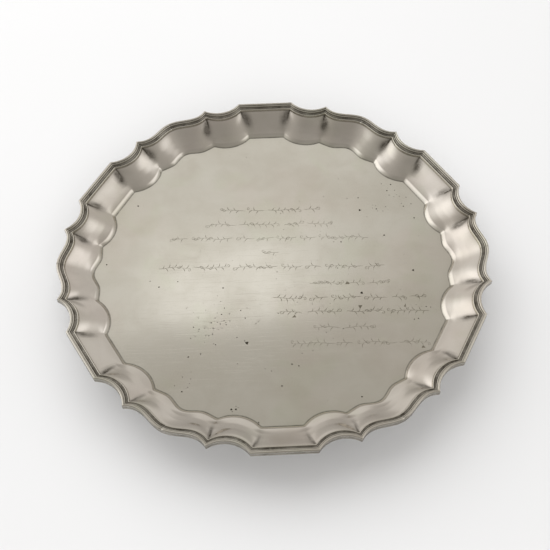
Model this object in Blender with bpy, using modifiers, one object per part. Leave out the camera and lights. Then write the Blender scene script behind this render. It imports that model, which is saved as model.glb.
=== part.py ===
"""Silver salver: a round footed tray with a shaped pie-crust border.

One raised sheet (field, riser, concave wall and flange), six cast border sections soldered on the flange
and three cast feet soldered under the field. Nothing moves. Metres, +Z up. The origin is on the surface
that the salver stands on, below the centre of the tray, and a straight side of the border faces +Y.
"""

import math
from collections import namedtuple

import bmesh
import bpy
from mathutils import Matrix, Vector

# Heights
FOOT_HEIGHT = 0.020  # from the table to the underside of the field
SHEET = 0.0010  # thickness of the raised sheet
TRAY_DEPTH = 0.0144  # from the field up to the top of the border
RIM_HEIGHT = 0.0036  # border moulding above the flange, solder gap included
RISER_HEIGHT = 0.0025  # crisp step between the field and the wall
GAP = 0.0003  # solder joint between touching pieces

# Widths, measured square to a straight side
RISER_WIDTH = 0.0031
RIM_WIDTH = 0.0058
WALL_FOOT_SLOPE = math.radians(19)  # slope of the concave wall where it leaves the riser

# Plan outline. One sixth is a straight side, a scallop, an ogee lobe and a scallop. Distances are from the
# centre of the tray; an offset is measured along the border from the lobe's middle line.
Outline = namedtuple(
    "Outline",
    "half_side side_distance corner_radius corner_angle scallop_sag dip_offset dip_distance lobe_distance",
)
OUTER_EDGE = Outline(0.0212, 0.1506, 0.1524, math.radians(18.5), 0.0056, 0.0224, 0.1468, 0.1522)
FIELD_EDGE = Outline(0.0145, 0.1291, 0.1290, math.radians(19.1), 0.0051, 0.0157, 0.1260, 0.1310)
LOBES = 6
HALF_LOBE = math.pi / LOBES  # angle from the middle of a side to the middle of a lobe
SIDE_STEPS = 2
SCALLOP_STEPS = 5
OGEE_STEPS = 6
WALL_STEPS = 4

# Feet
FOOT_COUNT = 3
FOOT_NAMES = ("foot_rear", "foot_right", "foot_left")
FOOT_RADIUS = 0.108  # from the centre of the tray to the middle of the attachment plate
FOOT_SIDES = 16
FOOT_STEPS = 2  # rings from one station of the leg to the next
FootStation = namedtuple("FootStation", "height lean half_length half_width")

# Levels that follow from the dimensions above
FIELD_LEVEL = FOOT_HEIGHT + GAP + SHEET
FLANGE_LEVEL = FIELD_LEVEL + TRAY_DEPTH - RIM_HEIGHT
WALL_INSET = OUTER_EDGE.side_distance - FIELD_EDGE.side_distance

SILVER = (0.60, 0.57, 0.51, 1.0)
DARK_SILVER = (0.48, 0.45, 0.40, 1.0)


def clear_scene():
    for old in list(bpy.data.objects):
        bpy.data.objects.remove(old)


def make_collection(name):
    collection = bpy.data.collections.new(name)
    bpy.context.scene.collection.children.link(collection)
    return collection


def make_material(name, color, roughness):
    material = bpy.data.materials.new(name)
    material.use_nodes = True
    shader = material.node_tree.nodes["Principled BSDF"]
    shader.inputs["Base Color"].default_value = color
    shader.inputs["Metallic"].default_value = 1.0
    shader.inputs["Roughness"].default_value = roughness
    return material


def outline_at(inset):
    """The plan outline a distance inside the outer edge, on the way to the field's edge."""
    share = inset / WALL_INSET
    return Outline(*(a + (b - a) * share for a, b in zip(OUTER_EDGE, FIELD_EDGE)))


def side_points(plan):
    """Straight side from its middle to the first corner, without the corner."""
    step = plan.half_side / SIDE_STEPS
    return [Vector((i * step, plan.side_distance)) for i in range(SIDE_STEPS)]


def lobe_corner(plan):
    return Vector((math.sin(plan.corner_angle), math.cos(plan.corner_angle))) * plan.corner_radius


def scallop_points(plan):
    """Concave arc from the side's corner to the lobe's corner, without the last point."""
    start = Vector((plan.half_side, plan.side_distance))
    chord = lobe_corner(plan) - start
    half = chord.length / 2
    radius = (half**2 + plan.scallop_sag**2) / (2 * plan.scallop_sag)
    along = chord.normalized()
    inward = Vector((along.y, -along.x))
    centre = start + along * half - inward * (radius - plan.scallop_sag)
    spread = math.asin(half / radius)
    angles = [spread * (2 * i / SCALLOP_STEPS - 1) for i in range(SCALLOP_STEPS)]
    return [centre + (along * math.sin(a) + inward * math.cos(a)) * radius for a in angles]


def ogee_distance(plan, offset):
    """How far the lobe's edge lies from the tray's centre, at an offset from the lobe's middle line."""
    if offset <= plan.dip_offset:
        swing = (plan.lobe_distance - plan.dip_distance) / 2
        return plan.dip_distance + swing * (1 + math.cos(math.pi * offset / plan.dip_offset))
    corner_offset = plan.corner_radius * math.sin(HALF_LOBE - plan.corner_angle)
    corner_distance = plan.corner_radius * math.cos(HALF_LOBE - plan.corner_angle)
    share = (offset - plan.dip_offset) / (corner_offset - plan.dip_offset)
    return plan.dip_distance + (corner_distance - plan.dip_distance) * share**2


def ogee_points(plan, end_offset):
    """Ogee from the lobe's corner to an offset from its middle line, both ends included."""
    outward = Vector((math.sin(HALF_LOBE), math.cos(HALF_LOBE)))
    back = Vector((-outward.y, outward.x))
    start_offset = plan.corner_radius * math.sin(HALF_LOBE - plan.corner_angle)
    points = []
    for i in range(OGEE_STEPS + 1):
        offset = start_offset + (end_offset - start_offset) * i / OGEE_STEPS
        points.append(outward * ogee_distance(plan, offset) + back * offset)
    return points


def half_motif(inset, end_offset):
    """A twelfth of the border, from the middle of a side to the middle of a lobe."""
    plan = outline_at(inset)
    return side_points(plan) + scallop_points(plan) + ogee_points(plan, end_offset)


def sixth(inset, end_offset):
    """A sixth of the border, from one lobe over the straight side to the next lobe."""
    right = half_motif(inset, end_offset)
    left = [Vector((-p.x, p.y)) for p in reversed(right[1:])]
    return left + right


def turned(points, index):
    turn = Matrix.Rotation(-index * 2 * HALF_LOBE, 2)
    return [turn @ p for p in points]


def closed_outline(inset):
    """The whole border, clockwise seen from above."""
    points = []
    for index in range(LOBES):
        points += turned(sixth(inset, 0.0), index)[:-1]
    return points


def wall_height(inset):
    """Height of the concave wall above the field: an arc from the riser up to the flange."""
    run = WALL_INSET - RIM_WIDTH
    rise = TRAY_DEPTH - RIM_HEIGHT - RISER_HEIGHT
    top_slope = 2 * math.atan2(rise, run) - WALL_FOOT_SLOPE
    radius = run / (math.sin(top_slope) - math.sin(WALL_FOOT_SLOPE))
    reach = WALL_INSET - inset + radius * math.sin(WALL_FOOT_SLOPE)
    lowest = RISER_HEIGHT - radius * (1 - math.cos(WALL_FOOT_SLOPE))
    return lowest + radius - math.sqrt(radius**2 - reach**2)


def sheet_profile():
    """(inset, height) of the tray's upper surface, from the flange's edge in to the riser's foot."""
    wall = [RIM_WIDTH + (WALL_INSET - RIM_WIDTH) * i / WALL_STEPS for i in range(WALL_STEPS + 1)]
    profile = [(GAP, FLANGE_LEVEL)]
    profile += [(inset, FIELD_LEVEL + wall_height(inset)) for inset in wall]
    profile.append((WALL_INSET + RISER_WIDTH, FIELD_LEVEL))
    return profile


def rim_profile():
    """(inset, height) of the border's moulding: outer bead, hollow and inner reed on a flat base."""
    base = FLANGE_LEVEL + GAP
    top = FLANGE_LEVEL + RIM_HEIGHT
    bead = 0.0010
    bead_points = []
    for degrees in (0, 45, 90, 150):
        angle = math.radians(degrees)
        bead_points.append((bead * (1 - math.cos(angle)), top - bead * (1 - math.sin(angle))))
    hollow = [(0.0024, top - 0.0018), (0.0033, top - 0.0025), (0.0044, top - 0.0027)]
    reed = [(0.0050, top - 0.0024), (0.0055, top - 0.0024)]
    return [(0.0, base)] + bead_points + hollow + reed + [(RIM_WIDTH, base)]


def add_ring(mesh, points, height):
    return [mesh.verts.new((p.x, p.y, height)) for p in points]


def bridge(mesh, first, second, closed):
    """Quads between two rings of equal length."""
    count = len(first) if closed else len(first) - 1
    for i in range(count):
        j = (i + 1) % len(first)
        mesh.faces.new((first[i], first[j], second[j], second[i]))


def finish(mesh, name, material, collection, smooth_angle):
    bmesh.ops.recalc_face_normals(mesh, faces=mesh.faces)
    data = bpy.data.meshes.new(name)
    mesh.to_mesh(data)
    mesh.free()
    data.materials.append(material)
    data.shade_smooth()
    data.set_sharp_from_angle(angle=math.radians(smooth_angle))
    built = bpy.data.objects.new(name, data)
    collection.objects.link(built)
    return built


def make_tray(collection):
    mesh = bmesh.new()
    rings = [add_ring(mesh, closed_outline(inset), height) for inset, height in sheet_profile()]
    for outer, inner in zip(rings, rings[1:]):
        bridge(mesh, outer, inner, closed=True)
    mesh.faces.new(rings[-1])
    tray = finish(mesh, "tray_plate", make_material("tray_silver", SILVER, 0.35), collection, 30)
    upper = max(tray.data.polygons, key=lambda face: face.area)
    if upper.normal.z < 0:
        tray.data.flip_normals()
    thickness = tray.modifiers.new("sheet", "SOLIDIFY")
    thickness.thickness = SHEET
    thickness.offset = -1
    thickness.use_even_offset = True


def make_rim_section(index, material, collection):
    mesh = bmesh.new()
    rows = []
    for inset, height in rim_profile():
        points = turned(sixth(inset, GAP / 2), index)
        rows.append(add_ring(mesh, points, height))
    for upper, lower in zip(rows, rows[1:] + rows[:1]):
        bridge(mesh, upper, lower, closed=False)
    mesh.faces.new([row[0] for row in rows])
    mesh.faces.new([row[-1] for row in reversed(rows)])
    finish(mesh, f"rim_moulding_{index + 1}", material, collection, 40)


def smooth_mix(before, start, end, after, share):
    """Catmull-Rom value between start and end."""
    slope_in = (end - before) / 2
    slope_out = (after - start) / 2
    square, cube = share**2, share**3
    return (
        (2 * cube - 3 * square + 1) * start
        + (cube - 2 * square + share) * slope_in
        + (3 * square - 2 * cube) * end
        + (cube - square) * slope_out
    )


def leg_stations():
    """Stations of the cabriole leg from the knee under the plate down to the pad, smoothly joined."""
    keys = [
        FootStation(0.0180, 0.0000, 0.0086, 0.0072),
        FootStation(0.0160, 0.0014, 0.0072, 0.0062),
        FootStation(0.0125, 0.0030, 0.0050, 0.0048),
        FootStation(0.0085, 0.0024, 0.0037, 0.0038),
        FootStation(0.0052, 0.0008, 0.0032, 0.0034),
        FootStation(0.0030, 0.0024, 0.0052, 0.0046),
    ]
    stations = []
    for i in range(len(keys) - 1):
        around = (keys[max(i - 1, 0)], keys[i], keys[i + 1], keys[min(i + 2, len(keys) - 1)])
        for step in range(FOOT_STEPS):
            share = step / FOOT_STEPS
            stations.append(FootStation(*(smooth_mix(*values, share) for values in zip(*around))))
    return stations + [keys[-1]]


def plate_outline(angle):
    """Leaf-shaped attachment plate, pointed towards the tray's centre: (along, across) of its edge."""
    point = 0.0035 * max(0.0, -math.cos(angle)) ** 6
    return (0.0100 * math.cos(angle) - point, 0.0085 * math.sin(angle) * (1 + 0.12 * math.cos(angle)))


def make_foot(index, material, collection):
    """One casting: leaf plate, cabriole leg and round pad, outward along +Y before it is turned."""
    mesh = bmesh.new()
    angles = [2 * math.pi * i / FOOT_SIDES for i in range(FOOT_SIDES)]
    plate = [plate_outline(a) for a in angles]
    rings = []
    for height, share in ((FOOT_HEIGHT, 1.0), (FOOT_HEIGHT - 0.0008, 1.0), (FOOT_HEIGHT - 0.0014, 0.92)):
        rings.append([mesh.verts.new((across * share, along * share, height)) for along, across in plate])
    pad = [FootStation(0.0020, 0.0038, 0.0062, 0.0056), FootStation(0.0008, 0.0040, 0.0064, 0.0058)]
    sole = [FootStation(0.0, 0.0040, 0.0056, 0.0050)]
    for station in leg_stations() + pad + sole:
        ring = []
        for angle in angles:
            across = station.half_width * math.sin(angle)
            along = station.lean + station.half_length * math.cos(angle)
            ring.append(mesh.verts.new((across, along, station.height)))
        rings.append(ring)
    for upper, lower in zip(rings, rings[1:]):
        bridge(mesh, upper, lower, closed=True)
    mesh.faces.new(rings[0])
    mesh.faces.new(rings[-1])
    foot = finish(mesh, FOOT_NAMES[index], material, collection, 50)
    turn = Matrix.Rotation(-index * 2 * math.pi / FOOT_COUNT, 4, "Z")
    foot.matrix_world = turn @ Matrix.Translation((0, FOOT_RADIUS, 0))


def build():
    clear_scene()
    collection = make_collection("silver_salver")
    make_tray(collection)
    for index in range(LOBES):
        material = make_material(f"rim_silver_{index + 1}", SILVER, 0.3)
        make_rim_section(index, material, collection)
    for index in range(FOOT_COUNT):
        make_foot(index, make_material(f"foot_silver_{index + 1}", DARK_SILVER, 0.4), collection)


build()
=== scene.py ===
"""Looks of the silver salver: a worn, satin silver tray on a pale studio floor.

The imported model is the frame. The tray, the six border sections and the three feet are each replaced by a
finer mesh of the same piece, which keeps to the frame's outline, levels and box. Metres, +Z up.
"""

import math
from collections import namedtuple

import bmesh
import bpy
import numpy as np
from mathutils import Matrix, Vector, geometry, kdtree, noise


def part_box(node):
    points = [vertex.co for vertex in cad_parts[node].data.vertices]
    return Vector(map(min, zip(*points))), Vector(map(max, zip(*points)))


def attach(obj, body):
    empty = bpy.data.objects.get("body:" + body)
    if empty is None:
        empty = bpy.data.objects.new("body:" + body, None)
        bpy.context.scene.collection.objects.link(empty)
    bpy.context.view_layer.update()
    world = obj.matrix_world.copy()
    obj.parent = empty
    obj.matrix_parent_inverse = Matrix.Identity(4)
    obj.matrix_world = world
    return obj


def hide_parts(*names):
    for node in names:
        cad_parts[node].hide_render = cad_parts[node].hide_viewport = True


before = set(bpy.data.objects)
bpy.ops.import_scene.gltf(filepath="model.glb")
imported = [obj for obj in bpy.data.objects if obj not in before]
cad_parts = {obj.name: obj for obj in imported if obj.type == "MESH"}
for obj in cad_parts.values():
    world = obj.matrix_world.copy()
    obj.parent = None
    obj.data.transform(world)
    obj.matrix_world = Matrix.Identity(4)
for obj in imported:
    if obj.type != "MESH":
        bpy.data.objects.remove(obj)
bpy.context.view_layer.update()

BODY = "root"
LOBES = 6
HALF_LOBE = math.pi / LOBES
RIM_NODES = [f"rim_moulding_{i + 1}" for i in range(LOBES)]
FOOT_NODES = ("foot_rear", "foot_right", "foot_left")

# Levels and sizes of the frame
GAP = 0.0003
RIM_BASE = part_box("rim_moulding_1")[0].z
RIM_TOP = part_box("rim_moulding_1")[1].z
FLANGE_LEVEL = RIM_BASE - GAP
SHEET = 0.0010
FIELD_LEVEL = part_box("tray_plate")[0].z + SHEET
FOOT_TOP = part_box("foot_rear")[1].z

# Plan outline, as in the frame's own design. One sixth is a straight side, a scallop, an ogee lobe and a
# scallop. Distances are from the centre of the tray; an offset is measured from the lobe's middle line.
Outline = namedtuple(
    "Outline",
    "half_side side_distance corner_radius corner_angle scallop_sag dip_offset dip_distance lobe_distance",
)
OUTER_EDGE = Outline(0.0212, 0.1506, 0.1524, math.radians(18.5), 0.0056, 0.0224, 0.1468, 0.1522)
FIELD_EDGE = Outline(0.0145, 0.1291, 0.1290, math.radians(19.1), 0.0051, 0.0157, 0.1260, 0.1310)
WALL_INSET = OUTER_EDGE.side_distance - FIELD_EDGE.side_distance
RIM_WIDTH = 0.0058
RISER_WIDTH = 0.0031
RISER_HEIGHT = 0.0025
RISER_FOOT = WALL_INSET + RISER_WIDTH

# How far the corners are rounded at an inset from the outer edge
CORNER_SOFTNESS = (
    (0.0, 0.00030),
    (RIM_WIDTH, 0.00045),
    (0.0085, 0.0013),
    (0.0130, 0.0042),
    (0.0175, 0.0045),
    (0.0200, 0.0024),
    (WALL_INSET, 0.0011),
    (RISER_FOOT, 0.0008),
)

# Steps along a twelfth of the border
SIDE_STEPS = 8
SCALLOP_STEPS = 16
OGEE_STEPS = 18

# Wall, riser and field of the tray; a slope is a fall over a run, at a share of the way down
WALL_SLOPES = ((0.0, 0.15, 0.35, 0.70, 1.0), (0.47, 0.56, 0.57, 0.52, 0.42))
WALL_STEPS = 26
WALL_UNEVENNESS = 0.00009
WALL_WAVELENGTH = 0.016
RISER_SLOPES = ((0.0, 0.35, 0.75, 0.93, 1.0), (0.32, 0.70, 1.00, 1.15, 0.10))
RISER_STEPS = 16
FIELD_UNEVENNESS = 0.00010
FIELD_WAVELENGTH = 0.055
FIELD_SPACING = 0.0030
UNDERSIDE_SPACING = 0.0060
UNDERSIDE_TARNISH = 0.25
TRAY_SHARP_ANGLE = 14
TRAY_SLOT, GROOVE_SLOT, PIT_SLOT = 0, 1, 2  # the tray's materials

# Darkening in the creases of the wall: a thin wedge under the moulding, partly tarnish and partly painted
# shade, and painted shade further down
CREASE_LENGTH = 0.0060
CREASE_WIDTH = 0.0008
PAINTED_SHADE_INSET = 0.0106
PAINTED_SHADE_LENGTH = 0.0050
PAINTED_SHADE_WIDTH = 0.0016
PAINTED_SHADE_REACH = 0.014
MOULDING_LINE = 0.0003
RISER_LINE = 0.0004

SEED = 20

# Camera and light
CAMERA_PLACE = Vector((-0.01396, -0.39234, 0.56134))
CAMERA_LOOK = Vector((0.0219, 0.5800, -0.8143))
CAMERA_ROLL = math.radians(-0.623)
CAMERA_LENS = 61.12

rng = np.random.default_rng(SEED)


# ---------------------------------------------------------------- plan outline

def ease_out(steps):
    """0 to 1, closer together towards 1."""
    return np.sin(np.linspace(0, math.pi / 2, steps + 1))


def ease_both(steps):
    """0 to 1, closer together at both ends."""
    return (1 - np.cos(np.linspace(0, math.pi, steps + 1))) / 2


def outline_at(inset):
    share = inset / WALL_INSET
    return Outline(*(a + (b - a) * share for a, b in zip(OUTER_EDGE, FIELD_EDGE)))


def lobe_corner(plan):
    return np.array((math.sin(plan.corner_angle), math.cos(plan.corner_angle))) * plan.corner_radius


def side_points(plan):
    across = plan.half_side * ease_out(SIDE_STEPS)[:-1]
    return np.column_stack((across, np.full(len(across), plan.side_distance)))


def scallop_points(plan):
    start = np.array((plan.half_side, plan.side_distance))
    chord = lobe_corner(plan) - start
    half = np.linalg.norm(chord) / 2
    radius = (half**2 + plan.scallop_sag**2) / (2 * plan.scallop_sag)
    along = chord / (2 * half)
    inward = np.array((along[1], -along[0]))
    centre = start + along * half - inward * (radius - plan.scallop_sag)
    angles = math.asin(half / radius) * (2 * ease_both(SCALLOP_STEPS)[:-1] - 1)
    return centre + radius * (np.outer(np.sin(angles), along) + np.outer(np.cos(angles), inward))


def ogee_points(plan):
    outward = np.array((math.sin(HALF_LOBE), math.cos(HALF_LOBE)))
    back = np.array((-outward[1], outward[0]))
    corner_offset = plan.corner_radius * math.sin(HALF_LOBE - plan.corner_angle)
    corner_distance = plan.corner_radius * math.cos(HALF_LOBE - plan.corner_angle)
    offsets = corner_offset * ease_out(OGEE_STEPS)[::-1]
    swing = (plan.lobe_distance - plan.dip_distance) / 2
    wave = plan.dip_distance + swing * (1 + np.cos(math.pi * offsets / plan.dip_offset))
    share = (offsets - plan.dip_offset) / (corner_offset - plan.dip_offset)
    rise = plan.dip_distance + (corner_distance - plan.dip_distance) * share**2
    distances = np.where(offsets <= plan.dip_offset, wave, rise)
    return np.outer(distances, outward) + np.outer(offsets, back)


def softened(points, radius):
    """A closed ring with its corners rounded by about a radius."""
    ahead = np.linalg.norm(np.roll(points, -1, axis=0) - points, axis=1)
    place = np.concatenate(([0.0], np.cumsum(ahead)[:-1]))
    weight = (ahead + np.roll(ahead, 1)) / 2
    apart = np.abs(place[:, None] - place[None, :])
    apart = np.minimum(apart, ahead.sum() - apart)
    share = np.exp(-((apart / radius) ** 2) / 2) * weight[None, :]
    return share @ points / share.sum(axis=1, keepdims=True)


def closed_ring(inset, softness):
    """The whole border at an inset, clockwise seen from above, starting in the middle of a lobe."""
    plan = outline_at(inset)
    right = np.vstack((side_points(plan), scallop_points(plan), ogee_points(plan)))
    left = right[1:][::-1] * (-1, 1)
    sixth = np.vstack((left, right))[:-1]
    turns = []
    for index in range(LOBES):
        angle = -index * 2 * HALF_LOBE
        turn = np.array(((math.cos(angle), -math.sin(angle)), (math.sin(angle), math.cos(angle))))
        turns.append(sixth @ turn.T)
    return softened(np.vstack(turns), softness)


RING_COUNT = 2 * LOBES * (SIDE_STEPS + SCALLOP_STEPS + OGEE_STEPS)


# ---------------------------------------------------------------- mesh helpers

def link(built):
    bpy.context.scene.collection.objects.link(built)
    return built


def ring_faces(rings, count, closed_row=True):
    """Quads between neighbouring rings, whose points are numbered ring after ring."""
    faces = []
    columns = count if closed_row else count - 1
    for row in range(rings - 1):
        for i in range(columns):
            j = (i + 1) % count
            a, b = row * count, (row + 1) * count
            faces.append((a + i, a + j, b + j, b + i))
    return faces


def make_mesh(name, points, faces, materials, sharp_angle, tarnish_and_shade, face_materials=None):
    """A smooth-shaded mesh; its darkness at each point, partly tarnish and partly painted shade, is 0 to 1
    and is read by the silver material.
    """
    data = bpy.data.meshes.new(name)
    data.from_pydata([tuple(p) for p in points], [], faces)
    data.attributes.new("tarnish_and_shade", "FLOAT", "POINT").data.foreach_set("value", np.asarray(tarnish_and_shade, float))
    for material in materials:
        data.materials.append(material)
    if face_materials is not None:
        data.polygons.foreach_set("material_index", face_materials)
    data.update()
    data.shade_smooth()
    data.set_sharp_from_angle(angle=math.radians(sharp_angle))
    return link(bpy.data.objects.new(name, data))


def ripple(points, wavelength, seed):
    """A smooth random height, about -1 to 1, at each plan point."""
    shift = Vector((seed * 7.31, seed * 3.17, seed * 1.73))
    return np.array([noise.noise(Vector((x, y, 0)) / wavelength + shift) for x, y in points[:, :2]])


# ---------------------------------------------------------------- tray

def run_down(slopes, steps, height):
    """Even shares of a run and the fall at each, along slopes that are scaled to fall by a height."""
    shares = np.linspace(0, 1, steps + 1)
    slopes = np.interp(shares, *slopes)
    falls = np.concatenate(([0.0], np.cumsum((slopes[1:] + slopes[:-1]) / 2)))
    falls *= height / falls[-1]
    return shares, falls


def wall_profile():
    """The wall from the moulding down to the riser: steepest in its upper half, flatter at both ends."""
    shares, falls = run_down(WALL_SLOPES, WALL_STEPS, FLANGE_LEVEL - FIELD_LEVEL - RISER_HEIGHT)
    return [(RIM_WIDTH + (WALL_INSET - RIM_WIDTH) * x, FLANGE_LEVEL - z) for x, z in zip(shares, falls)]


def riser_profile():
    """A rounded crest, an even bevel and a small fillet where it meets the field."""
    shares, falls = run_down(RISER_SLOPES, RISER_STEPS, RISER_HEIGHT)
    crest = FIELD_LEVEL + RISER_HEIGHT
    return [(WALL_INSET + RISER_WIDTH * x, crest - z) for x, z in zip(shares[1:], falls[1:])]


def offset_below(profile):
    """The underside of the sheet under a profile."""
    line = np.array(profile)
    slope = np.gradient(line, axis=0)
    slope /= np.linalg.norm(slope, axis=1, keepdims=True)
    return line - SHEET * np.column_stack((-slope[:, 1], slope[:, 0]))


def softness_at(inset):
    """How far the corners are rounded: crisp at the moulding and the riser, very soft between them."""
    insets, radii = zip(*CORNER_SOFTNESS)
    return float(np.interp(inset, insets, radii))


def field_swell(points):
    """Slight unevenness of the hand-raised field."""
    reach = np.linalg.norm(points[:, :2], axis=1)
    fade = np.clip((0.128 - reach) / 0.03, 0, 1)
    return FIELD_UNEVENNESS * fade * ripple(points, FIELD_WAVELENGTH, 1)


def crease_corners():
    """The corners of the border as (number in a ring, step towards its side or lobe)."""
    half = SIDE_STEPS + SCALLOP_STEPS + OGEE_STEPS
    corners = []
    for motif in range(LOBES):
        middle = motif * 2 * half + half
        for hand in (-1, 1):
            corners.append((middle + hand * SIDE_STEPS, -hand))
            corners.append((middle + hand * (SIDE_STEPS + SCALLOP_STEPS), hand))
    return corners


# Each crease has a patch of painted shade of its own strength, beside it by a share of the patch's width
PAINTED_SHADE_STRENGTHS = rng.uniform(0.75, 1.20, 4 * LOBES)
PAINTED_SHADE_SHIFTS = rng.uniform(0.3, 1.0, 4 * LOBES)


def tray_tarnish_and_shade(inset, ring):
    """Darkening of the tray's top: a wedge in each crease under the moulding, partly tarnish and partly
    painted shade; painted shade down the wall beside the creases, most at the rear; a faint dark line under
    the moulding; painted shade at the riser's foot.
    """
    total = np.zeros(len(ring))
    share = min(1.0, max(0.0, (inset - RIM_WIDTH) / CREASE_LENGTH))
    down = (inset - PAINTED_SHADE_INSET) / PAINTED_SHADE_LENGTH
    for (number, step), strength, shift in zip(crease_corners(), PAINTED_SHADE_STRENGTHS, PAINTED_SHADE_SHIFTS):
        apart = ring - ring[number]
        along = ring[(number + 3 * step) % len(ring)] - ring[number]
        along = apart @ (along / np.linalg.norm(along))
        reach = np.linalg.norm(apart, axis=1)
        total += (1 - share) * np.exp(-((reach / (CREASE_WIDTH * (1.15 - share))) ** 2))
        # Painted shade: the patch is wider and darker on the rear walls
        rear = np.interp(ring[number][1], (-0.10, 0.10), (0.0, 1.0))
        wide = PAINTED_SHADE_WIDTH * (0.9 + 0.9 * rear)
        painted_shade = strength * (1.0 + 0.6 * rear) * math.exp(-down * down)
        painted_shade = painted_shade * np.exp(-((along / wide - shift) ** 2))
        total += np.minimum(painted_shade, 0.95) * (reach < PAINTED_SHADE_REACH)
    # A faint dark line where the wall meets the moulding, and painted shade at the riser's foot
    total += 0.2 * math.exp(-(((inset - RIM_WIDTH) / MOULDING_LINE) ** 2))
    total += 0.9 * math.exp(-(((inset - RISER_FOOT) / RISER_LINE) ** 2))
    return np.clip(total * (0.8 + 0.3 * ripple(ring, 0.004, 11)), 0, 1)


def make_tray(materials):
    top = [(GAP, FLANGE_LEVEL - 0.0001), (GAP + 0.0001, FLANGE_LEVEL), (RIM_WIDTH - 0.0004, FLANGE_LEVEL)]
    wall = wall_profile()
    riser = riser_profile()
    top += wall + riser + [(RISER_FOOT + 0.0007, FIELD_LEVEL)]
    shoulder = FLANGE_LEVEL - SHEET
    below = offset_below(wall + riser + [(RISER_FOOT + 0.002, FIELD_LEVEL)])
    below = [(x, z) for x, z in below if z < shoulder - 0.0002]
    bottom = [(GAP, shoulder + 0.0001), (GAP + 0.0001, shoulder), (below[0][0] - 0.0004, shoulder)] + below

    rings = []
    tarnish_and_shade = []
    for inset, height in top:
        ring = closed_ring(inset, softness_at(inset))
        lift = np.zeros(len(ring))
        if RIM_WIDTH < inset < WALL_INSET:
            share = (inset - RIM_WIDTH) / (WALL_INSET - RIM_WIDTH)
            lift = WALL_UNEVENNESS * math.sin(math.pi * share) * ripple(ring, WALL_WAVELENGTH, 3)
        rings.append(np.column_stack((ring, height + lift)))
        tarnish_and_shade.append(tray_tarnish_and_shade(inset, ring))
    edge = rings[-1]
    points = np.vstack(rings)
    faces = ring_faces(len(rings), RING_COUNT)
    first = (len(rings) - 1) * RING_COUNT

    strokes = engraved_strokes()
    pits = clear_of_strokes(field_pits(), strokes)
    plan, field_faces, depth, pitted = cut_field(edge[:, :2], strokes, pits, FIELD_SPACING)
    inner = plan[RING_COUNT:]
    swell = field_swell(inner)
    heights = FIELD_LEVEL + swell - depth[RING_COUNT:]
    start = len(points)
    points = np.vstack((points, np.column_stack((inner, heights))))
    tarnish_and_shade.append(np.zeros(len(inner)))
    marks = [TRAY_SLOT] * len(faces)
    for face in field_faces:
        faces.append(tuple(first + i if i < RING_COUNT else start + i - RING_COUNT for i in face))
        if pitted[face[0]] >= 0 and len({pitted[i] for i in face}) == 1:
            marks.append(PIT_SLOT)
        else:
            marks.append(GROOVE_SLOT if depth[list(face)].max() > 0.00001 else TRAY_SLOT)

    below_rings = []
    for inset, height in bottom:
        ring = closed_ring(inset, softness_at(inset))
        below_rings.append(np.column_stack((ring, np.full(len(ring), height))))
    start = len(points)
    points = np.vstack([points] + below_rings)
    for face in ring_faces(len(below_rings), RING_COUNT):
        faces.append(tuple(start + i for i in reversed(face)))
        marks.append(TRAY_SLOT)
    for i in range(RING_COUNT):
        j = (i + 1) % RING_COUNT
        faces.append((i, start + i, start + j, j))
        marks.append(TRAY_SLOT)
    first = start + (len(below_rings) - 1) * RING_COUNT
    plan, field_faces, _, _ = cut_field(below_rings[-1][:, :2], [], [], UNDERSIDE_SPACING)
    inner = plan[RING_COUNT:]
    start = len(points)
    heights = FIELD_LEVEL - SHEET + np.minimum(field_swell(inner), 0.0003)
    points = np.vstack((points, np.column_stack((inner, heights))))
    for face in field_faces:
        numbers = [first + i if i < RING_COUNT else start + i - RING_COUNT for i in face]
        faces.append(tuple(reversed(numbers)))
        marks.append(TRAY_SLOT)
    tarnish_and_shade = np.concatenate(tarnish_and_shade)
    tarnish_and_shade = np.concatenate((tarnish_and_shade, np.full(len(points) - len(tarnish_and_shade), UNDERSIDE_TARNISH)))
    return make_mesh("salver_tray", points, faces, materials, TRAY_SHARP_ANGLE, tarnish_and_shade, marks)


# ---------------------------------------------------------------- engraving and wear of the field

Stroke = namedtuple("Stroke", "points widths")
Pit = namedtuple("Pit", "centre radius depth")
Band = namedtuple("Band", "level left right")

ENGRAVING_TURN = math.radians(-2.06)
GROOVE_HALF_WIDTH = 0.00024
GROOVE_DEPTH = 0.00009
LEAF_SPACING = 0.0023
PIT_DEPTH = 0.32  # of its radius
PIT_REACH = 0.119  # from the centre of the field
BANDS = [
    Band(0.0520, -0.0375, 0.0345),
    Band(0.0385, -0.0485, 0.0435),
    Band(0.0255, -0.0740, 0.0700),
    Band(0.0125, -0.0070, 0.0045),
    Band(-0.0005, -0.0815, 0.0795),
    Band(-0.0150, 0.0255, 0.0815),
    Band(-0.0275, 0.0000, 0.1055),
    Band(-0.0390, 0.0055, 0.1070),
    Band(-0.0520, 0.0285, 0.0685),
    Band(-0.0645, 0.0125, 0.1045),
]


def cut(start, end, bend, width):
    """One cut of the graver: a slightly bent line that swells in its middle and thins out at both ends."""
    share = np.linspace(0, 1, 9)
    along = end - start
    side = np.array((-along[1], along[0]))
    points = start + np.outer(share, along) + np.outer(np.sin(math.pi * share) * bend, side)
    return Stroke(points, width * (0.25 + 0.75 * np.sin(math.pi * share) ** 0.8))


def curl(start, heading, hand, size, width):
    """A tendril that leaves the stem and rolls up."""
    share = np.linspace(0, 1, 16)
    turn = heading + hand * 2 * math.pi * 0.95 * share
    step = size * (1.25 - share) / 8
    line = np.cumsum(np.column_stack((np.cos(turn), np.sin(turn))) * step[:, None], axis=0)
    return Stroke(start + line, width * (0.9 - 0.45 * share))


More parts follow.
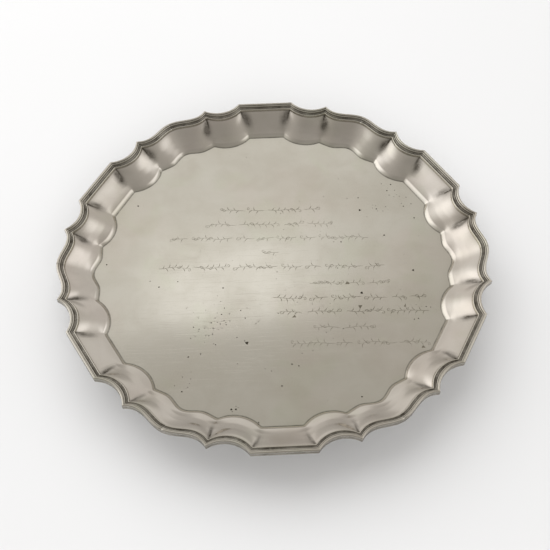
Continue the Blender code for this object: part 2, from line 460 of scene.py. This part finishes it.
def sprig(left, right, level, weight):
    """A running laurel sprig: a slightly waving stem with slanting leaves, tendrils and a bud at its end."""
    count = 2 * max(2, round((right - left) / LEAF_SPACING / 2)) + 1
    share = np.linspace(0, 1, count)
    if rng.random() < 0.5:
        share = share[::-1]
    wave = rng.uniform(0.0003, 0.0007) * np.sin(math.pi * (right - left) / 0.011 * share + rng.uniform(0, 6))
    stem = np.column_stack((left + (right - left) * share, level + wave))
    strokes = [Stroke(stem, weight * np.linspace(0.7, 0.4, count))]
    for i in range(1, count - 1):
        run = stem[i + 1] - stem[i - 1]
        heading = math.atan2(run[1], run[0])
        hand = 1 if i % 2 else -1
        slant = heading + hand * math.radians(rng.uniform(50, 66))
        if rng.random() < 0.22:
            strokes.append(curl(stem[i], slant, -hand, rng.uniform(0.0034, 0.0046), weight))
            continue
        tip = stem[i] + rng.uniform(0.0025, 0.0036) * np.array((math.cos(slant), math.sin(slant)))
        strokes.append(cut(stem[i] + 0.10 * (tip - stem[i]), tip, -0.12 * hand, weight))
    end = stem[-1] - stem[-2]
    heading = math.atan2(end[1], end[0])
    strokes.append(curl(stem[-1], heading, rng.choice((-1, 1)), 0.0034, weight * 0.8))
    return strokes


def engraved_strokes():
    """Ornament in rows: laurel sprigs of several lengths, each row with its own weight of line."""
    strokes = []
    for band in BANDS:
        left = band.left
        weight = GROOVE_HALF_WIDTH * rng.uniform(0.72, 1.0)
        while band.right - left > 0.004:
            length = min(rng.uniform(0.009, 0.031), band.right - left)
            if band.right - left - length < 0.010:
                length = band.right - left
            strokes += sprig(left, left + length - 0.0010, band.level, weight)
            left += length + rng.uniform(0.0034, 0.0048)
    turn = np.array(((math.cos(ENGRAVING_TURN), -math.sin(ENGRAVING_TURN)),
                     (math.sin(ENGRAVING_TURN), math.cos(ENGRAVING_TURN))))
    return [Stroke(stroke.points @ turn.T, stroke.widths) for stroke in strokes]


PIT_CLUSTERS = [  # (x, y), spread, number, largest radius
    ((-0.046, -0.047), 0.0085, 34, 0.0006),
    ((-0.038, -0.043), 0.0030, 9, 0.0007),
    ((0.100, 0.062), 0.0070, 20, 0.0007),
    ((0.080, 0.050), 0.0060, 8, 0.0005),
    ((0.096, -0.042), 0.0050, 9, 0.0006),
    ((-0.032, -0.113), 0.0028, 10, 0.0009),
    ((-0.062, -0.097), 0.0060, 6, 0.0005),
    ((0.0, 0.0), 0.0650, 70, 0.0005),
]
LONE_PITS = [  # x, y, radius
    (-0.0990, 0.0610, 0.0008), (-0.1195, 0.0075, 0.0007), (-0.0815, -0.0140, 0.0007),
    (-0.0365, -0.0170, 0.0007), (-0.0215, -0.0430, 0.0006), (-0.0210, -0.0630, 0.0014),
    (0.0010, -0.0970, 0.0007), (0.0085, -0.0810, 0.0007), (0.0130, -0.0825, 0.0006),
    (0.0525, -0.1075, 0.0007), (0.0605, -0.0260, 0.0012), (-0.0605, -0.0720, 0.0007),
    (-0.0645, -0.0980, 0.0007), (0.0665, 0.0485, 0.0011), (0.0665, 0.0605, 0.0006),
    (0.0790, 0.0490, 0.0007), (0.1060, 0.0390, 0.0007), (0.0990, -0.0085, 0.0010),
    (0.0820, 0.0240, 0.0008), (0.0500, 0.0195, 0.0007), (-0.0155, -0.1230, 0.0010),
]


def field_pits():
    """Corrosion pits of the field, in clusters and alone."""
    pits = [Pit(np.array((x, y)), radius, radius * PIT_DEPTH) for x, y, radius in LONE_PITS]
    for (x, y), spread, count, largest in PIT_CLUSTERS:
        for _ in range(count):
            place = np.array((x, y)) + rng.normal(0, 1, 2) * spread
            radius = rng.uniform(0.35, 1.0) * largest
            apart = min(np.linalg.norm(pit.centre - place) - pit.radius for pit in pits)
            if np.linalg.norm(place) < PIT_REACH and apart > radius + 0.0002:
                pits.append(Pit(place, radius, radius * PIT_DEPTH))
    return pits


def clear_of_strokes(pits, strokes):
    """The pits that no engraved line runs into."""
    lines = np.vstack([stroke.points for stroke in strokes])
    return [pit for pit in pits if np.linalg.norm(lines - pit.centre, axis=1).min() > pit.radius + 0.0007]


def hex_lattice(reach, spacing):
    rows = int(reach / (spacing * 0.866)) + 1
    columns = int(reach / spacing) + 1
    lattice = []
    for row in range(-rows, rows + 1):
        for column in range(-columns, columns + 1):
            lattice.append(((column + 0.5 * (row % 2)) * spacing, row * spacing * 0.866))
    return np.array(lattice)


def inside(points, polygon):
    """Which points lie in a closed polygon."""
    result = np.zeros(len(points), bool)
    x, y = points[:, 0], points[:, 1]
    for (x0, y0), (x1, y1) in zip(polygon, np.roll(polygon, -1, axis=0)):
        if y0 == y1:
            continue
        crosses = (y0 > y) != (y1 > y)
        result ^= crosses & (x < (x1 - x0) * (y - y0) / (y1 - y0) + x0)
    return result


def cut_field(boundary, strokes, pits, spacing):
    """Triangles that fill a boundary, cut along V-grooves and pits: (points, faces, depths, pit numbers)."""
    coords = [tuple(p) for p in boundary]
    edges = [(i, (i + 1) % len(coords)) for i in range(len(coords))]
    marks = []  # (place, half width, depth) along every cut
    for stroke in strokes:
        ahead = np.gradient(stroke.points, axis=0)
        ahead /= np.linalg.norm(ahead, axis=1, keepdims=True)
        side = np.column_stack((-ahead[:, 1], ahead[:, 0])) * stroke.widths[:, None]
        for line in (stroke.points - side, stroke.points, stroke.points + side):
            start = len(coords)
            coords += [tuple(p) for p in line]
            edges += [(start + i, start + i + 1) for i in range(len(line) - 1)]
        for a, b, wa, wb in zip(stroke.points, stroke.points[1:], stroke.widths, stroke.widths[1:]):
            count = max(1, int(np.linalg.norm(b - a) / 0.00004))
            for i in range(count + 1):
                share = i / count
                width = wa + (wb - wa) * share
                marks.append((a + (b - a) * share, width, GROOVE_DEPTH * width / GROOVE_HALF_WIDTH))
    for pit in pits:
        start = len(coords)
        sides = 10
        for i in range(sides):
            angle = 2 * math.pi * i / sides
            reach = pit.radius * (0.78 + 0.22 * math.sin(3 * angle + pit.centre[0] * 9000))
            coords.append((pit.centre[0] + reach * math.cos(angle), pit.centre[1] + reach * math.sin(angle)))
        edges += [(start + i, start + (i + 1) % sides) for i in range(sides)]
        coords.append(tuple(pit.centre))
        marks.append((pit.centre, pit.radius * 0.6, pit.depth))
    tree = kdtree.KDTree(max(1, len(marks)))
    for i, (place, _, _) in enumerate(marks):
        tree.insert((place[0], place[1], 0), i)
    tree.balance()
    border = kdtree.KDTree(len(boundary))
    for i, place in enumerate(boundary):
        border.insert((place[0], place[1], 0), i)
    border.balance()
    lattice = hex_lattice(0.135, spacing)
    lattice = lattice[inside(lattice, boundary)]
    for x, y in lattice:
        if border.find((x, y, 0))[2] < spacing * 0.6:
            continue
        if marks and tree.find((x, y, 0))[2] < 0.0008:
            continue
        coords.append((x, y))
    result = geometry.delaunay_2d_cdt([Vector(c) for c in coords], edges, [], 1, 1e-7)
    verts, _, faces, originals = result[:4]
    plan = np.array([tuple(v) for v in verts])
    place_of = {}
    for number, sources in enumerate(originals):
        for source in sources:
            if source < len(boundary):
                place_of[source] = number
    order = [place_of[i] for i in range(len(boundary))]
    taken = set(order)
    order += [i for i in range(len(plan)) if i not in taken]
    new_number = {old: new for new, old in enumerate(order)}
    faces = [tuple(new_number[i] for i in face) for face in faces]
    plan = plan[order]
    depth = np.zeros(len(plan))
    for i, (x, y) in enumerate(plan):
        if not marks:
            break
        if i < len(boundary):
            continue
        for _, number, apart in tree.find_range((x, y, 0), GROOVE_HALF_WIDTH * 1.1):
            _, width, deep = marks[number]
            depth[i] = max(depth[i], deep * (1 - apart / width))
    pitted = np.full(len(plan), -1)
    for number, pit in enumerate(pits):
        pitted[np.linalg.norm(plan - pit.centre, axis=1) <= pit.radius * 1.01] = number
    return plan, faces, depth, pitted


# ---------------------------------------------------------------- border sections

BEAD_WIDTH = 0.0018
JOINT_GAP = 0.00003
JOINT_BEVEL = 0.00018
JOINT_DEPTH = 0.00008
JOINT_TARNISH = 0.8


def arc(centre, radius, start, end, steps):
    """Points of an arc in the moulding's section: (inset, depth below the top)."""
    angles = np.radians(np.linspace(start, end, steps + 1))
    return [(centre[0] + radius * math.cos(a), centre[1] - radius * math.sin(a)) for a in angles]


def rim_section():
    """The moulding's section, outer bottom edge over the top to the inner one: (inset, depth, darkness), the
    darkness being tarnish in the hollows and partly painted shade.
    """
    base = RIM_TOP - FLANGE_LEVEL
    parts = [
        (0.60, [(0.00010, base - 0.00002), (0.0, base - 0.00015), (0.0, base - 0.00055)]),
        (0.60, [(0.00012, base - 0.00085), (0.00022, 0.00215), (0.00016, 0.00175)]),
        (0.35, arc((0.00092, 0.00092), 0.00092, 200, 145, 5)),
        (0.0, arc((0.00092, 0.00092), 0.00092, 134, 35, 9)),
        (0.95, [(0.00176, 0.00066), (0.00187, 0.00092), (0.00197, 0.00090)]),
        (0.1, arc((0.00226, 0.00126), 0.00044, 112, 15, 6)),
        (0.95, [(0.00276, 0.00150), (0.00288, 0.00188), (0.00315, 0.00222), (0.00355, 0.00243)]),
        (0.95, [(0.00395, 0.00247), (0.00430, 0.00240), (0.00452, 0.00229)]),
        (0.0, arc((0.00500, 0.00236), 0.00043, 155, 20, 7)),
        (0.1, [(0.00548, 0.00254), (0.00564, 0.00284), (0.00575, 0.00315)]),
        (0.3, [(RIM_WIDTH, 0.00340), (RIM_WIDTH, base + 0.00004)]),
    ]
    return [(inset, depth, tarnish_and_shade) for tarnish_and_shade, points in parts for inset, depth in points]


def make_border_section(index, material):
    """A cast section of the border; its ends are a hair apart from the next one's."""
    per_sixth = RING_COUNT // LOBES
    numbers = [(index * per_sixth + i) % RING_COUNT for i in range(per_sixth + 1)]
    section = rim_section()
    rows = []
    tarnish_and_shade = []
    for inset, depth, dark in section:
        ring = closed_ring(inset, softness_at(inset))[numbers]
        height = RIM_TOP - depth
        lift = 0.00003 * ripple(ring, 0.012, 5)
        row = np.column_stack((ring, np.minimum(height + lift, RIM_TOP)))
        ends = []
        for first, second in ((row[0], row[1]), (row[-1], row[-2])):
            ahead = (second - first) / np.linalg.norm(second - first)
            sink = np.array((0, 0, -JOINT_DEPTH))
            inward = np.array((-first[0], -first[1], 0)) / np.linalg.norm(first[:2]) * 0.00006
            if inset > RIM_WIDTH / 2:
                inward = -inward
            ends.append((first + ahead * JOINT_GAP + sink + inward, first + ahead * JOINT_BEVEL))
        rows.append(np.vstack((ends[0][0], ends[0][1], row[1:-1], ends[1][1], ends[1][0])))
        # Painted shade: the section a little lighter at the rear and its outer bead darker at the front,
        # over patchy tarnish
        front = -rows[-1][:, 1] / OUTER_EDGE.side_distance
        patchy_tarnish_and_shade = dark * (0.85 + 0.3 * ripple(rows[-1], 0.005, 13)) * (1 + 0.10 * np.minimum(front, 0))
        if inset < BEAD_WIDTH:
            patchy_tarnish_and_shade += 0.12 * np.maximum(front, 0)
        patchy_tarnish_and_shade[[0, -1]] = JOINT_TARNISH
        tarnish_and_shade.append(np.clip(patchy_tarnish_and_shade, 0, 1))
    count = len(rows[0])
    points = np.vstack(rows)
    faces = ring_faces(len(rows), count, closed_row=False)
    last = (len(rows) - 1) * count
    faces += [(last + i, last + i + 1, i + 1, i) for i in range(count - 1)]
    faces.append(tuple(reversed([row * count for row in range(len(rows))])))
    faces.append(tuple(row * count + count - 1 for row in range(len(rows))))
    faces = [tuple(reversed(face)) for face in faces]
    return make_mesh(f"border_section_{index + 1}", points, faces, [material], 40, np.concatenate(tarnish_and_shade))


# ---------------------------------------------------------------- feet

FootStation = namedtuple("FootStation", "height lean half_length half_width")
FOOT_RADIUS = 0.108
FOOT_SIDES = 48
LEG_STEPS = 7


def smooth_mix(before, start, end, after, share):
    slope_in = (end - before) / 2
    slope_out = (after - start) / 2
    square, cube = share**2, share**3
    return (
        (2 * cube - 3 * square + 1) * start
        + (cube - 2 * square + share) * slope_in
        + (3 * square - 2 * cube) * end
        + (cube - square) * slope_out
    )


def leg_stations():
    keys = [
        FootStation(0.0186, 0.0000, 0.0090, 0.0076),
        FootStation(0.0178, 0.0000, 0.0084, 0.0071),
        FootStation(0.0160, 0.0014, 0.0072, 0.0062),
        FootStation(0.0125, 0.0030, 0.0050, 0.0048),
        FootStation(0.0085, 0.0024, 0.0037, 0.0038),
        FootStation(0.0052, 0.0008, 0.0032, 0.0034),
        FootStation(0.0030, 0.0024, 0.0052, 0.0046),
        FootStation(0.0018, 0.0038, 0.0062, 0.0056),
        FootStation(0.0008, 0.0040, 0.0064, 0.0058),
    ]
    stations = []
    for i in range(len(keys) - 1):
        around = (keys[max(i - 1, 0)], keys[i], keys[i + 1], keys[min(i + 2, len(keys) - 1)])
        for step in range(LEG_STEPS):
            share = step / LEG_STEPS
            stations.append(FootStation(*(smooth_mix(*values, share) for values in zip(*around))))
    return stations + [keys[-1]]


def plate_outline(angle, share):
    """The leaf-shaped attachment plate, with a scalloped edge: (along, across)."""
    point = 0.0035 * max(0.0, -math.cos(angle)) ** 6
    scallop = 1 - 0.030 * (1 - abs(math.cos(4 * angle)))
    along = 0.0100 * math.cos(angle) - point
    across = 0.0085 * math.sin(angle) * (1 + 0.12 * math.cos(angle))
    return along * share * scallop, across * share * scallop


def make_foot(index, material):
    """One casting: leaf plate, cabriole leg with a carved knee, and a pad with toes."""
    angles = np.linspace(0, 2 * math.pi, FOOT_SIDES, endpoint=False)
    rings = []
    for height, share in ((FOOT_TOP, 0.995), (FOOT_TOP - 0.0001, 1.0), (FOOT_TOP - 0.0007, 1.0),
                          (FOOT_TOP - 0.0010, 0.985), (FOOT_TOP - 0.0012, 0.94)):
        ring = [plate_outline(a, share) for a in angles]
        rings.append([(across, along, height) for along, across in ring])
    for station in leg_stations():
        knee = math.exp(-(((station.height - 0.0145) / 0.0035) ** 2))
        toe = math.exp(-(((station.height - 0.0018) / 0.0014) ** 2))
        ring = []
        for angle in angles:
            front = max(0.0, math.cos(angle))
            flute = 1 - 0.055 * knee * (1 - abs(math.cos(5 * angle)))
            ridge = 1 + 0.05 * knee * front**10
            toes = 1 - 0.10 * toe * front * (1 - abs(math.cos(4.5 * angle)))
            scale = flute * ridge * toes
            across = station.half_width * math.sin(angle) * scale
            along = station.lean + station.half_length * math.cos(angle) * scale
            ring.append((across, along, station.height))
        rings.append(ring)
    for height, share in ((0.0003, 0.95), (0.0, 0.87)):
        ring = [(0.0058 * math.sin(a) * share, 0.0040 + 0.0064 * math.cos(a) * share) for a in angles]
        rings.append([(across, along, height) for across, along in ring])
    points = [p for ring in rings for p in ring]
    faces = ring_faces(len(rings), FOOT_SIDES)
    faces.append(tuple(reversed(range(FOOT_SIDES))))
    last = (len(rings) - 1) * FOOT_SIDES
    faces.append(tuple(last + i for i in range(FOOT_SIDES)))
    name = FOOT_NODES[index] + "_casting"
    # Darker in a band just under the plate and in a fainter band at the ankle, over an even base
    heights = np.array(points)[:, 2]
    tarnish_and_shade = 0.25 + 0.60 * np.exp(-(((heights - 0.0183) / 0.0008) ** 2))
    tarnish_and_shade += 0.30 * np.exp(-(((heights - 0.0040) / 0.0010) ** 2))
    foot = make_mesh(name, points, faces, [material], 50, tarnish_and_shade)
    turn = Matrix.Rotation(-index * 2 * math.pi / len(FOOT_NODES), 4, "Z")
    foot.data.transform(turn @ Matrix.Translation((0, FOOT_RADIUS, 0)))
    return foot


# ---------------------------------------------------------------- materials

def add(tree, kind, sockets=None, **settings):
    """A node with its settings, and its sockets set or linked."""
    made = tree.nodes.new(kind)
    for name, value in settings.items():
        setattr(made, name, value)
    for name, value in (sockets or {}).items():
        socket = made.inputs[name]
        if isinstance(value, bpy.types.NodeSocket):
            tree.links.new(value, socket)
        else:
            socket.default_value = value
    return made


def add_noise(tree, coords, scale, detail=3.0, roughness=0.5, distortion=0.0):
    return add(tree, "ShaderNodeTexNoise", {
        "Vector": coords, "Scale": scale, "Detail": detail, "Roughness": roughness, "Distortion": distortion,
    }).outputs["Fac"]


def add_range(tree, value, low, high, to_low=0.0, to_high=1.0, kind="SMOOTHSTEP"):
    return add(tree, "ShaderNodeMapRange", {
        "Value": value, "From Min": low, "From Max": high, "To Min": to_low, "To Max": to_high,
    }, interpolation_type=kind).outputs["Result"]


def add_math(tree, operation, first, second):
    return add(tree, "ShaderNodeMath", {0: first, 1: second}, operation=operation).outputs[0]


def add_mix(tree, share, first, second, blend="MIX"):
    made = add(tree, "ShaderNodeMix", data_type="RGBA", blend_type=blend)
    for socket, value in ((made.inputs[0], share), (made.inputs[6], first), (made.inputs[7], second)):
        if isinstance(value, bpy.types.NodeSocket):
            tree.links.new(value, socket)
        else:
            socket.default_value = value
    return made.outputs[2]


def add_scratches(tree, coords, angle, scale):
    """Fine parallel scratches in one direction, 0 to 1."""
    turned = add(tree, "ShaderNodeMapping", {
        "Vector": coords,
        "Rotation": (0, 0, math.radians(angle)),
        "Scale": (scale * 0.02, scale, scale * 0.1),
    }).outputs["Vector"]
    lines = add_noise(tree, turned, 1.0, detail=2.0, distortion=0.3)
    return add_range(tree, lines, 0.64, 0.72)


DARK_TARNISH_AND_SHADE = (0.065, 0.056, 0.043, 1.0)


def make_silver(name, clean, tarnished, roughness, tarnish_level):
    """Worn satin silver: stains, specks and scratches, darkened at each point by tarnish and painted shade,
    slightly rosy on the wall.
    """
    material = bpy.data.materials.new(name)
    material.use_nodes = True
    tree = material.node_tree
    shader = tree.nodes["Principled BSDF"]
    shader.inputs["Metallic"].default_value = 1.0
    coords = add(tree, "ShaderNodeTexCoord").outputs["Object"]

    stains = add_noise(tree, coords, 13.0, detail=4.0, roughness=0.5, distortion=0.6)
    stains = add_range(tree, stains, 0.35, 0.70)
    clouds = add_noise(tree, coords, 48.0, detail=3.0, roughness=0.5, distortion=0.4)
    clouds = add_range(tree, clouds, 0.30, 0.75)
    both = add_math(tree, "MULTIPLY", add_math(tree, "ADD", stains, clouds), tarnish_level)
    color = add_mix(tree, both, clean, tarnished)
    green = add_range(tree, add_noise(tree, coords, 31.0, detail=2.0, distortion=0.5), 0.52, 0.72, 0.0, 0.30)
    color = add_mix(tree, green, color, (0.93, 1.0, 0.90, 1.0), "MULTIPLY")
    level = add(tree, "ShaderNodeSeparateXYZ", {0: coords}).outputs["Z"]
    wall = add_range(tree, level, FIELD_LEVEL, FIELD_LEVEL + RISER_HEIGHT)
    wall = add_math(tree, "MULTIPLY", wall, add_range(tree, level, FLANGE_LEVEL, RIM_BASE, 1.0, 0.3))
    color = add_mix(tree, wall, color, (1.0, 0.978, 1.005, 1.0), "MULTIPLY")
    rosy = add_range(tree, add_noise(tree, coords, 17.0, detail=2.0), 0.48, 0.66, 0.0, 0.30)
    color = add_mix(tree, rosy, color, (1.0, 0.94, 0.95, 1.0), "MULTIPLY")
    specks = add_range(tree, add_noise(tree, coords, 900.0, detail=2.0, roughness=0.7), 0.70, 0.78)
    color = add_mix(tree, add_math(tree, "MULTIPLY", specks, 0.5), color, (0.16, 0.14, 0.11, 1.0))
    # Darkening at each point: tarnish in hollows and joints, and painted shade in the creases, at the
    # riser's foot and on the moulding's near side
    tarnish_and_shade_mask = add(tree, "ShaderNodeAttribute", attribute_name="tarnish_and_shade").outputs["Fac"]
    darkening_breakup = add_noise(tree, coords, 650.0, detail=4.0, roughness=0.65)
    tarnish_and_shade_mask = add_math(tree, "MULTIPLY", tarnish_and_shade_mask, add_range(tree, darkening_breakup, 0.30, 0.55, 0.72, 1.0))
    color = add_mix(tree, tarnish_and_shade_mask, color, DARK_TARNISH_AND_SHADE)

    fine = add_scratches(tree, coords, 22, 2600.0)
    coarse = add_scratches(tree, coords, -57, 1500.0)
    long = add_scratches(tree, coords, 81, 900.0)
    scratches = add_math(tree, "MAXIMUM", add_math(tree, "MAXIMUM", fine, coarse), long)

    matt = add_math(tree, "MULTIPLY", both, 0.10)
    matt = add_math(tree, "ADD", matt, add_math(tree, "MULTIPLY", scratches, 0.06))
    matt = add_math(tree, "ADD", matt, add_math(tree, "MULTIPLY", specks, 0.25))
    matt = add_math(tree, "ADD", matt, add_math(tree, "MULTIPLY", tarnish_and_shade_mask, 0.22))
    tree.links.new(add_math(tree, "ADD", matt, roughness), shader.inputs["Roughness"])
    tree.links.new(color, shader.inputs["Base Color"])

    grain = add_noise(tree, coords, 1400.0, detail=3.0)
    height = add_math(tree, "MULTIPLY", grain, 0.5)
    height = add_math(tree, "ADD", height, add_math(tree, "MULTIPLY", scratches, -0.3))
    height = add_math(tree, "ADD", height, add_math(tree, "MULTIPLY", specks, -1.5))
    bump = add(tree, "ShaderNodeBump", {"Height": height, "Strength": 0.5, "Distance": 0.000012})
    tree.links.new(bump.outputs["Normal"], shader.inputs["Normal"])
    return material


def make_floor_material():
    material = bpy.data.materials.new("pale_floor")
    material.use_nodes = True
    tree = material.node_tree
    shader = tree.nodes["Principled BSDF"]
    shader.inputs["Roughness"].default_value = 0.9
    coords = add(tree, "ShaderNodeTexCoord").outputs["Object"]
    paper = add_noise(tree, coords, 3.0, detail=2.0)
    color = add_mix(tree, paper, (0.640, 0.644, 0.652, 1), (0.660, 0.664, 0.672, 1))
    tree.links.new(color, shader.inputs["Base Color"])
    return material


# ---------------------------------------------------------------- studio

SoftLight = namedtuple("SoftLight", "azimuth elevation tightness strength")
SoftBox = namedtuple(
    "SoftBox", "azimuth elevation half_width half_height side_edge top_edge bottom_edge strength",
)


AMBIENT = 0.195


def direction(azimuth, elevation):
    """Unit vector; azimuth is clockwise from +Y seen from above, both in degrees."""
    a, e = math.radians(azimuth), math.radians(elevation)
    return Vector((math.sin(a) * math.cos(e), math.cos(a) * math.cos(e), math.sin(e)))


def add_facing(tree, coords, toward):
    dot = add(tree, "ShaderNodeVectorMath", {0: coords, 1: toward}, operation="DOT_PRODUCT")
    return dot.outputs["Value"]


def add_soft_box(tree, coords, box):
    """A glowing rectangle with soft edges, far away; its sizes are tangents of half angles."""
    ahead = direction(box.azimuth, box.elevation)
    right = direction(box.azimuth + 90, 0)
    up = right.cross(ahead)
    facing = add_facing(tree, coords, ahead)
    safe = add_math(tree, "MAXIMUM", facing, 0.001)
    across = add_math(tree, "DIVIDE", add_facing(tree, coords, right), safe)
    along = add_math(tree, "DIVIDE", add_facing(tree, coords, up), safe)
    across = add_math(tree, "ABSOLUTE", across, 0.0)
    inner, outer = box.half_width - box.side_edge / 2, box.half_width + box.side_edge / 2
    glow = add_range(tree, across, inner, outer, 1.0, 0.0)
    inner, outer = box.half_height - box.top_edge / 2, box.half_height + box.top_edge / 2
    glow = add_math(tree, "MULTIPLY", glow, add_range(tree, along, inner, outer, 1.0, 0.0))
    inner, outer = -box.half_height - box.bottom_edge / 2, -box.half_height + box.bottom_edge / 2
    glow = add_math(tree, "MULTIPLY", glow, add_range(tree, along, inner, outer))
    glow = add_math(tree, "MULTIPLY", glow, add_math(tree, "GREATER_THAN", facing, 0.02))
    return add_math(tree, "MULTIPLY", glow, box.strength)


def make_world():
    """A room that is dim towards the camera.

    A window is on the left, a softbox on the right and a low glow at the rear. The last two boxes hang high
    at the rear and lie as soft patches on the field.
    """
    lights = [
        SoftLight(-72, 24, 3.5, 0.85),
        SoftLight(78, 30, 3.5, 0.60),
        SoftLight(0, 28, 4.0, 0.48),
        SoftLight(0, 86, 10.0, 0.14),
        SoftLight(180, 58, 8.0, 0.09),
        SoftLight(180, 22, 3.0, 0.22),
    ]
    boxes = [
        SoftBox(-62, 26, 0.42, 0.50, 0.45, 0.50, 0.30, 0.65),
        SoftBox(81, 40, 0.38, 0.25, 0.38, 0.30, 0.30, 0.56),
        SoftBox(0, 20, 0.90, 0.12, 0.40, 0.30, 0.14, 0.16),
        SoftBox(-8, 49, 0.25, 0.15, 0.18, 0.014, 0.20, 0.20),
        SoftBox(-2.5, 54.7, 0.090, 0.048, 0.09, 0.014, 0.09, 0.32),
    ]
    world = bpy.data.worlds.new("studio")
    bpy.context.scene.world = world
    world.use_nodes = True
    tree = world.node_tree
    coords = add(tree, "ShaderNodeTexCoord").outputs["Generated"]
    total = add(tree, "ShaderNodeValue")
    total.outputs[0].default_value = AMBIENT
    total = total.outputs[0]
    for light in lights:
        facing = add_facing(tree, coords, direction(light.azimuth, light.elevation))
        lobe = add_math(tree, "POWER", add_math(tree, "MAXIMUM", facing, 0.0), light.tightness)
        total = add_math(tree, "ADD", total, add_math(tree, "MULTIPLY", lobe, light.strength))
    for box in boxes:
        total = add_math(tree, "ADD", total, add_soft_box(tree, coords, box))
    background = tree.nodes["Background"]
    color = add_mix(tree, add_range(tree, total, 0.3, 1.4), (1.0, 0.965, 0.91, 1.0), (1.0, 0.99, 0.985, 1.0))
    tree.links.new(color, background.inputs["Color"])
    tree.links.new(total, background.inputs["Strength"])


def make_soft_light(name, place, size, energy):
    """A large soft light that brightens the floor; the silver reflects the room instead."""
    data = bpy.data.lights.new(name, "AREA")
    data.shape = "DISK"
    data.size = size
    data.energy = energy
    lamp = link(bpy.data.objects.new(name, data))
    lamp.location = place
    lamp.rotation_euler = (-lamp.location).to_track_quat("-Z", "Y").to_euler()
    lamp.visible_glossy = False


def make_floor():
    size = 4.0
    mesh = bmesh.new()
    bmesh.ops.create_grid(mesh, x_segments=2, y_segments=2, size=size)
    data = bpy.data.meshes.new("floor")
    mesh.to_mesh(data)
    mesh.free()
    data.materials.append(make_floor_material())
    floor = link(bpy.data.objects.new("floor", data))
    floor.location.z = -0.0002


def make_camera():
    data = bpy.data.cameras.new("camera")
    data.lens = CAMERA_LENS
    data.sensor_width = 36.0
    data.clip_start = 0.01
    camera = link(bpy.data.objects.new("camera", data))
    aim = CAMERA_LOOK.to_track_quat("-Z", "Y").to_matrix().to_4x4()
    camera.matrix_world = Matrix.Translation(CAMERA_PLACE) @ aim @ Matrix.Rotation(CAMERA_ROLL, 4, "Z")
    bpy.context.scene.camera = camera


# ---------------------------------------------------------------- assembly

make_camera()
make_world()
make_soft_light("key_softbox", (-0.30, 0.75, 1.15), 2.0, 16.5)
make_soft_light("fill_softbox", (0.15, -2.40, 1.80), 2.4, 45.0)
make_floor()
bpy.context.scene.view_settings.view_transform = "Standard"

CLEAN = (0.61, 0.585, 0.518, 1.0)
TARNISHED = (0.49, 0.46, 0.385, 1.0)
tray_silver = make_silver("tray_silver", CLEAN, TARNISHED, 0.070, 0.32)
groove_silver = make_silver("groove_tarnish", (0.33, 0.305, 0.25, 1), (0.22, 0.20, 0.155, 1), 0.60, 0.5)
pit_silver = make_silver("pit_tarnish", (0.085, 0.075, 0.055, 1), (0.045, 0.04, 0.03, 1), 0.5, 0.5)
rim_silver = make_silver("rim_silver", CLEAN, TARNISHED, 0.11, 0.30)
foot_silver = make_silver("foot_silver", CLEAN, TARNISHED, 0.20, 0.60)

tray = make_tray([tray_silver, groove_silver, pit_silver])
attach(tray, BODY)
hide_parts("tray_plate")

for i, node in enumerate(RIM_NODES):
    section = make_border_section(i, rim_silver)
    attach(section, BODY)
    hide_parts(node)

for i, node in enumerate(FOOT_NODES):
    foot = make_foot(i, foot_silver)
    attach(foot, BODY)
    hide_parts(node)
